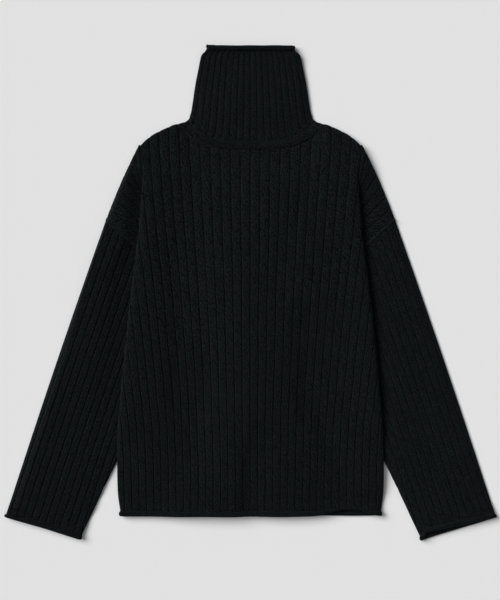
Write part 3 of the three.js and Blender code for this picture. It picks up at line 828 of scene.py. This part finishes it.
def tinted_yarn(tint):
    return (*(KNIT_LIGHT[i] * tint[i] for i in range(3)), 1)


def knit_material(name, stitch_depth=0.0007, gutters=True, wale_lines=0.15, contrast=2.6, darker=0.0):
    """Plain knit: each wale is a column of V shapes, drawn from the UV map, which counts wales across
    and stitches along. Painted shade darkens the colour where the yarn dips and between the wales,
    and the colour also varies at random from leg to leg."""
    material = bpy.data.materials.new(name)
    node, calc = node_tools(material)
    place = node("TexCoord", {})["Object"]

    def mottle(scale, roughness):
        inputs = {"Vector": place, "Scale": scale, "Detail": 2.0, "Roughness": roughness}
        return node("TexNoise", inputs)["Fac"]

    # The height of the yarn: stitches slant along each leg of a V, and dip between and in the wales
    uv = node("SeparateXYZ", {"Vector": node("UVMap", {}, uv_map="UVMap")["UV"]})
    wale, stitch = uv["X"], uv["Y"]
    leg = calc("ABSOLUTE", calc("SUBTRACT", calc("FRACT", wale), 0.5))
    slanted = calc("ADD", stitch, calc("MULTIPLY", leg, LEG_SLOPE))
    strand = calc("MULTIPLY_ADD", calc("SINE", calc("MULTIPLY", slanted, 2 * math.pi)), 0.35, 0.65)
    between = calc("SMOOTH_MIN", calc("MULTIPLY", calc("SUBTRACT", 0.5, leg), 5.0), 1.0, 0.3)
    centre = calc("SMOOTH_MIN", calc("MULTIPLY_ADD", leg, 4.0, 0.35), 1.0, 0.3)
    yarn = calc("MULTIPLY", strand, calc("MULTIPLY", between, centre))
    fuzzy = calc("MULTIPLY_ADD", mottle(FUZZ, 0.7), 0.5, yarn)
    bump = node("Bump", {"Strength": 0.75, "Distance": stitch_depth, "Height": fuzzy})["Normal"]

    def leg_brightness(across, along):
        """A steady chance value for each leg of a stitch, or for the leg `across` and `along` from it."""
        column = calc("ADD", calc("FLOOR", calc("MULTIPLY", wale, 2.0)), across)
        row = calc("ADD", calc("FLOOR", slanted), along)
        cell = node("CombineXYZ", {"X": column, "Y": row})["Vector"]
        return node("TexWhiteNoise", {"Vector": cell}, noise_dimensions="2D")["Value"]

    # Each leg of a stitch differs from its neighbours, but the cloth is even from a distance
    beside = calc("MULTIPLY", calc("ADD", leg_brightness(1.0, 0.0), leg_brightness(0.0, 1.0)), 0.5)
    grain = calc("SUBTRACT", leg_brightness(0.0, 0.0), beside)
    # Painted shade: the colour is darker where the yarn dips, and between the wales by wale_lines
    tone = calc("MULTIPLY_ADD", yarn, 0.45, -0.24 - darker)
    tone = calc("MULTIPLY_ADD", between, wale_lines, tone)
    tone = calc("MULTIPLY_ADD", mottle(TUFTS, 0.6), 0.3, tone)
    tone = calc("MULTIPLY_ADD", grain, contrast, tone)
    # Painted shade along the rib gutters, darkest in their middle
    if gutters:
        to_gutter = calc("PINGPONG", calc("DIVIDE", wale, float(WALES_PER_RIB)), 0.5)
        raised = calc("MINIMUM", calc("DIVIDE", to_gutter, 0.18), 1.0)
        tone = calc("SUBTRACT", tone, calc("MULTIPLY", calc("SUBTRACT", 1.0, raised), GUTTER_PAINTED_SHADE))
    tint = calc("MULTIPLY_ADD", mottle(TINT_PATCHES, 0.5), 5.0, -2.0)
    yarns = {"Factor": tint, "A": tinted_yarn(COOL_TINT), "B": tinted_yarn(WARM_TINT)}
    light = node("Mix", yarns, data_type="RGBA", clamp_factor=True)["Result"]
    shades = {"Factor": calc("MAXIMUM", tone, 0.0), "A": (*KNIT_DARK, 1), "B": light}
    colour = node("Mix", shades, data_type="RGBA", clamp_factor=False)["Result"]
    shader = node("BsdfPrincipled", {
        "Base Color": colour,
        "Normal": bump,
        "Roughness": 0.92,
        "Specular IOR Level": 0.04,
        "Sheen Weight": 0.03,
        "Sheen Roughness": 0.55,
        "Sheen Tint": (0.75, 0.9, 1.0, 1),
    })
    node("OutputMaterial", {"Surface": shader["BSDF"]})
    return material


def button_material():
    """Dull near-black horn with faint streaks."""
    material = bpy.data.materials.new("button_horn")
    node, calc = node_tools(material)
    place = node("TexCoord", {})["Object"]
    streaks = node("TexNoise", {"Vector": place, "Scale": 90.0, "Detail": 4.0, "Distortion": 1.4})["Fac"]
    shades = {"Factor": streaks, "A": (0.003, 0.003, 0.0035, 1), "B": (0.012, 0.011, 0.0105, 1)}
    shader = node("BsdfPrincipled", {
        "Base Color": node("Mix", shades, data_type="RGBA")["Result"],
        "Roughness": calc("MULTIPLY_ADD", streaks, 0.25, 0.45),
        "Specular IOR Level": 0.12,
    })
    node("OutputMaterial", {"Surface": shader["BSDF"]})
    return material


# ---- buttons

BUTTON_STEPS = 48
HOLE_OFFSET = 1.9             # of each hole from the button's middle, along X and along Y
HOLE_RADIUS = 1.05
THREAD_RADIUS = 0.5


def button_blank(name, centre, height):
    """A button without its holes: a sunk face inside a rounded rim, face down, and a flat back."""
    # Distance from the middle and height over the floor, from the face round the rim to the back
    profile = [
        (4.2, 0.9), (6.8, 0.75), (8.6, 0.35), (9.6, 0.05), (10.8, 0), (11.8, 0.3), (12.3, 1.1),
        (12.3, 1.9), (11.6, height - 0.25), (10.4, height),
    ]
    points, faces = [], []
    for radius, z in profile:
        for step in range(BUTTON_STEPS):
            angle = 2 * math.pi * step / BUTTON_STEPS
            points.append((centre.x + radius * math.cos(angle), centre.y + radius * math.sin(angle), z))
    last = len(points) - BUTTON_STEPS
    for ring in range(0, last, BUTTON_STEPS):
        for step in range(BUTTON_STEPS):
            here = ring + step
            beside = ring + (step + 1) % BUTTON_STEPS
            faces.append((here, here + BUTTON_STEPS, beside + BUTTON_STEPS, beside))
    faces.append(tuple(range(BUTTON_STEPS)))
    faces.append(tuple(reversed(range(last, len(points)))))
    mesh = bpy.data.meshes.new(name)
    mesh.from_pydata([tuple(value * MM for value in point) for point in points], [], faces)
    blank = bpy.data.objects.new("fine_" + name, mesh)
    bpy.context.scene.collection.objects.link(blank)
    return blank


def cut_holes(piece, centre, height):
    """Cuts four sewing holes through a button."""
    holes = bmesh.new()
    radius = HOLE_RADIUS * MM
    for dx in (-HOLE_OFFSET, HOLE_OFFSET):
        for dy in (-HOLE_OFFSET, HOLE_OFFSET):
            rod = bmesh.ops.create_cone(
                holes, cap_ends=True, segments=16, radius1=radius, radius2=radius, depth=8 * MM)
            at = ((centre.x + dx) * MM, (centre.y + dy) * MM, height / 2 * MM)
            bmesh.ops.translate(holes, verts=rod["verts"], vec=at)
    hole_mesh = bpy.data.meshes.new("holes")
    holes.to_mesh(hole_mesh)
    holes.free()
    cutter = bpy.data.objects.new("cutter", hole_mesh)
    bpy.context.scene.collection.objects.link(cutter)
    cut = piece.modifiers.new("holes", "BOOLEAN")
    cut.object = cutter
    cut.operation = "DIFFERENCE"
    bpy.context.view_layer.update()
    evaluated = piece.evaluated_get(bpy.context.evaluated_depsgraph_get())
    cut_mesh = bpy.data.meshes.new_from_object(evaluated)
    piece.modifiers.clear()
    piece.data = cut_mesh
    bpy.data.objects.remove(cutter)


def add_thread(mesh, centre):
    """Adds two strands of thread that cross the face between opposite holes."""
    sewn = bmesh.new()
    sewn.from_mesh(mesh)
    bmesh.ops.recalc_face_normals(sewn, faces=sewn.faces)
    radius = THREAD_RADIUS * MM
    for turn in (45, -45):
        strand = bmesh.ops.create_cone(
            sewn, cap_ends=True, segments=10, radius1=radius, radius2=radius,
            depth=2 * HOLE_OFFSET * 1.42 * MM)
        placed = (
            Matrix.Translation((centre.x * MM, centre.y * MM, 0.75 * MM))
            @ Matrix.Rotation(math.radians(turn), 4, "Z")
            @ Matrix.Rotation(math.pi / 2, 4, "Y")
        )
        bmesh.ops.transform(sewn, matrix=placed, verts=strand["verts"])
        for face in {face for vert in strand["verts"] for face in vert.link_faces}:
            face.material_index = 1
    sewn.to_mesh(mesh)
    sewn.free()


def make_button(name, material, thread):
    """A sewn-on four-hole button, face down under the outer front."""
    low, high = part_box(name)
    centre = (low + high) / 2 / MM
    height = (high.z - low.z) / MM
    piece = button_blank(name, centre, height)
    cut_holes(piece, centre, height)
    add_thread(piece.data, centre)
    piece.data.materials.clear()
    piece.data.materials.append(material)
    piece.data.materials.append(thread)
    for polygon in piece.data.polygons:
        polygon.use_smooth = len(polygon.vertices) == 4
    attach(piece, "root")
    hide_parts(name)


# ---- the garment

knit = knit_material("rib_knit_wool")
band_knit = knit_material(
    "neckband_wool", stitch_depth=0.0009, gutters=False, wale_lines=0.6, contrast=1.9, darker=0.12)
seam_knit = knit_material(
    "linked_seam_wool", stitch_depth=0.0009, gutters=False, wale_lines=0.6, contrast=2.2, darker=-0.08)

back_shells = [(back_main(), 0), (back_drop(1), 0), (back_drop(-1), 0)]
right_shells = [(front(1, False), 0), (front_drop(1), 0)]
left_shells = [(front(-1, True), 0), (front_drop(-1), 0)]
right_sleeve_shells = [(sleeve(1, 41), 0), (armhole_seam(1, 41), 1)]
left_sleeve_shells = [(sleeve(-1, 47), 0), (armhole_seam(-1, 47), 1)]
back_piece = make_piece("knit_back", back_shells, [knit], "back")
front_right = make_piece("knit_front_right", right_shells, [knit], "front_right")
front_left = make_piece("knit_front_left", left_shells, [knit], "front_left")
sleeve_right = make_piece(
    "knit_sleeve_right", right_sleeve_shells, [knit, seam_knit], "sleeve_right")
sleeve_left = make_piece(
    "knit_sleeve_left", left_sleeve_shells, [knit, seam_knit], "sleeve_left")
collar_piece = make_piece("knit_collar", [(collar(), 0)], [knit], "collar")
band_piece = make_piece("knit_neckband", [(neckband(), 0)], [band_knit], "neckband")

horn = button_material()
for node_name in sorted(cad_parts):
    if node_name.startswith("button_"):
        make_button(node_name, horn, band_knit)

# ---- floor, light and camera

FLOOR_GREY = 0.847
FLOOR_HALF = 40.0             # metres, wide enough to reach the horizon
DOME_STRENGTH = 0.56
DOME_FALLOFF = 3.0
KEY_STRENGTH = 2.95
KEY_WIDTH = 42                # degrees
KEY_DIRECTION = (0.62, -0.33, -0.71)
VIEW_HEIGHT = 0.921           # metres that the camera frames from top to bottom
VIEW_MIDDLE = (-0.0009, -0.0123)
VIEW_LEVEL = 0.008            # height over the floor at which it frames them


def make_floor():
    """A plain pale matt floor."""
    mesh = bpy.data.meshes.new("floor")
    corners = [(FLOOR_HALF * x, FLOOR_HALF * y, 0) for x, y in ((-1, -1), (1, -1), (1, 1), (-1, 1))]
    mesh.from_pydata(corners, [], [(0, 1, 2, 3)])
    floor = bpy.data.objects.new("floor", mesh)
    material = bpy.data.materials.new("floor_paper")
    material.use_nodes = True
    shader = material.node_tree.nodes["Principled BSDF"]
    shader.inputs["Base Color"].default_value = (FLOOR_GREY, FLOOR_GREY, FLOOR_GREY, 1)
    shader.inputs["Roughness"].default_value = 1.0
    shader.inputs["Specular IOR Level"].default_value = 0.0
    mesh.materials.append(material)
    bpy.context.scene.collection.objects.link(floor)


def make_light():
    """A wide soft light that comes down from -X and +Y, and a dome that is brightest overhead."""
    world = bpy.data.worlds.new("soft_room")
    bpy.context.scene.world = world
    world.use_nodes = True
    tree = world.node_tree
    direction = tree.nodes.new("ShaderNodeTexCoord")
    split = tree.nodes.new("ShaderNodeSeparateXYZ")
    tree.links.new(direction.outputs["Generated"], split.inputs["Vector"])
    overhead = tree.nodes.new("ShaderNodeMath")
    overhead.operation = "POWER"
    overhead.use_clamp = True
    overhead.inputs[1].default_value = DOME_FALLOFF
    tree.links.new(split.outputs["Z"], overhead.inputs[0])
    strength = tree.nodes.new("ShaderNodeMath")
    strength.operation = "MULTIPLY"
    strength.inputs[1].default_value = DOME_STRENGTH
    tree.links.new(overhead.outputs[0], strength.inputs[0])
    background = tree.nodes["Background"]
    background.inputs["Color"].default_value = (1, 1, 1, 1)
    tree.links.new(strength.outputs[0], background.inputs["Strength"])
    lamp = bpy.data.lights.new("key", "SUN")
    lamp.energy = KEY_STRENGTH
    lamp.angle = math.radians(KEY_WIDTH)
    key = bpy.data.objects.new("key", lamp)
    key.rotation_euler = Vector(KEY_DIRECTION).to_track_quat("-Z", "Y").to_euler()
    bpy.context.scene.collection.objects.link(key)


def make_camera():
    """Straight above the garment, with a long lens."""
    data = bpy.data.cameras.new("camera")
    data.lens = 100
    distance = VIEW_HEIGHT * data.lens / data.sensor_width
    camera = bpy.data.objects.new("camera", data)
    camera.location = (*VIEW_MIDDLE, VIEW_LEVEL + distance)
    bpy.context.scene.collection.objects.link(camera)
    bpy.context.scene.camera = camera


make_floor()
make_light()
make_camera()
bpy.context.scene.view_settings.view_transform = "Standard"
